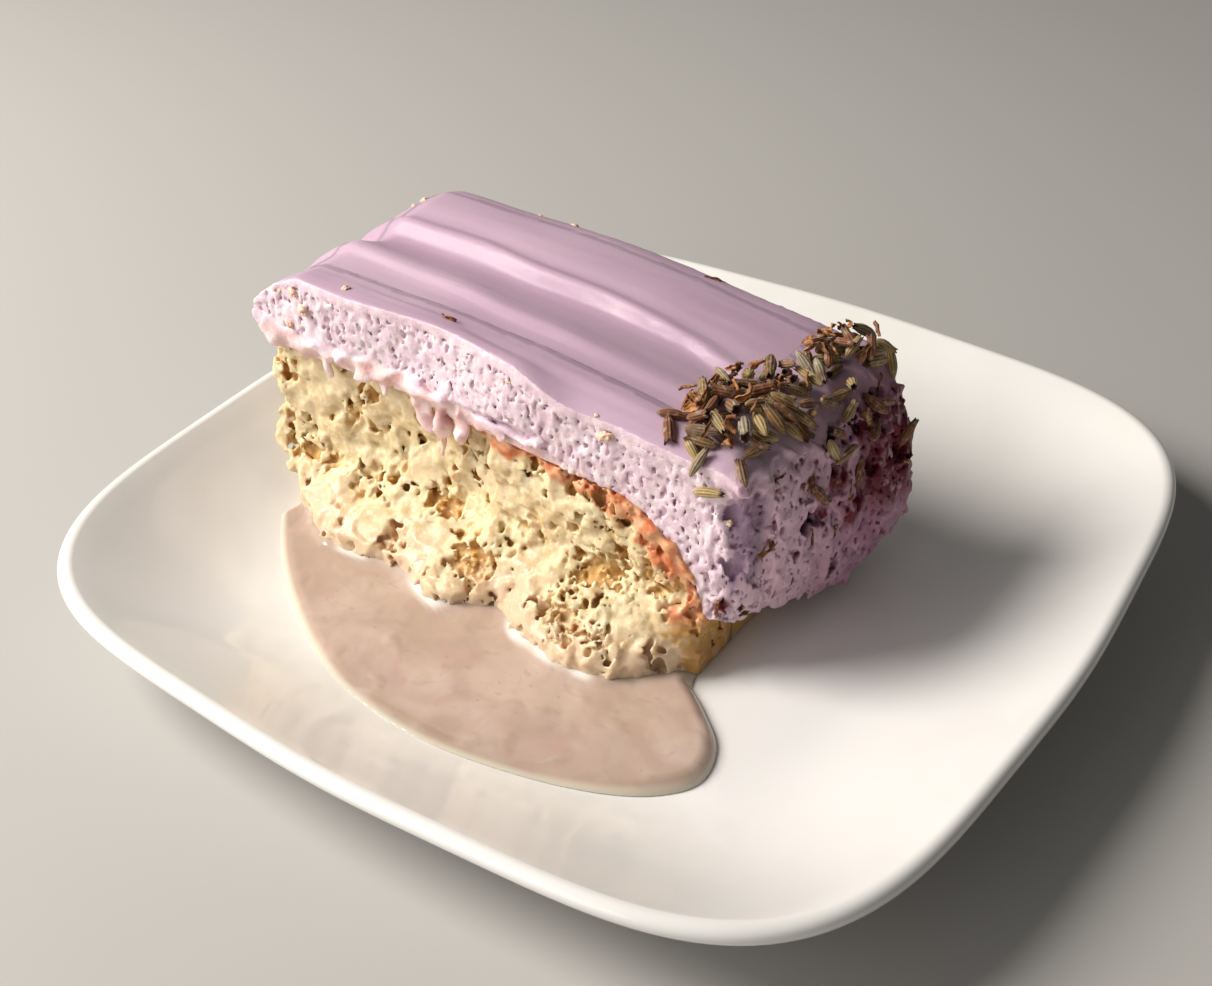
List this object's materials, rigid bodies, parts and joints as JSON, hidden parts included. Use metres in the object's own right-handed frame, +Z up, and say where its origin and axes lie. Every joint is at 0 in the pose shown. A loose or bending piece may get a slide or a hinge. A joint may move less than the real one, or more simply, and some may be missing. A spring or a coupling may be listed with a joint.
{
  "type": "tres leches cake on a plate",
  "caption": "Cut block of milk-soaked sponge under whipped cream with dried lavender, in a pool of milk on a rounded square plate.",
  "frame": {"origin": "middle of the plate's foot, on the surface it stands on", "axes": "+X along the cake towards its cream-covered end, +Y across it away from the shown cut face, +Z up"},
  "size_m": [0.2014, 0.2014, 0.0649],
  "materials": {
    "porcelain": "glossy white glaze",
    "crumb": "open, damp sponge crumb with a browned crust line",
    "whipped_cream": "satin mauve cream, foamy where cut",
    "lavender": "dry ribbed buds, olive, brown and grey",
    "milk": "wet, glossy, pinkish beige"
  },
  "bodies": {
    "root": {"plate": "porcelain", "sponge": "crumb", "frosting": "whipped_cream", "milk_pool": "milk"}
  },
  "joints": []
}
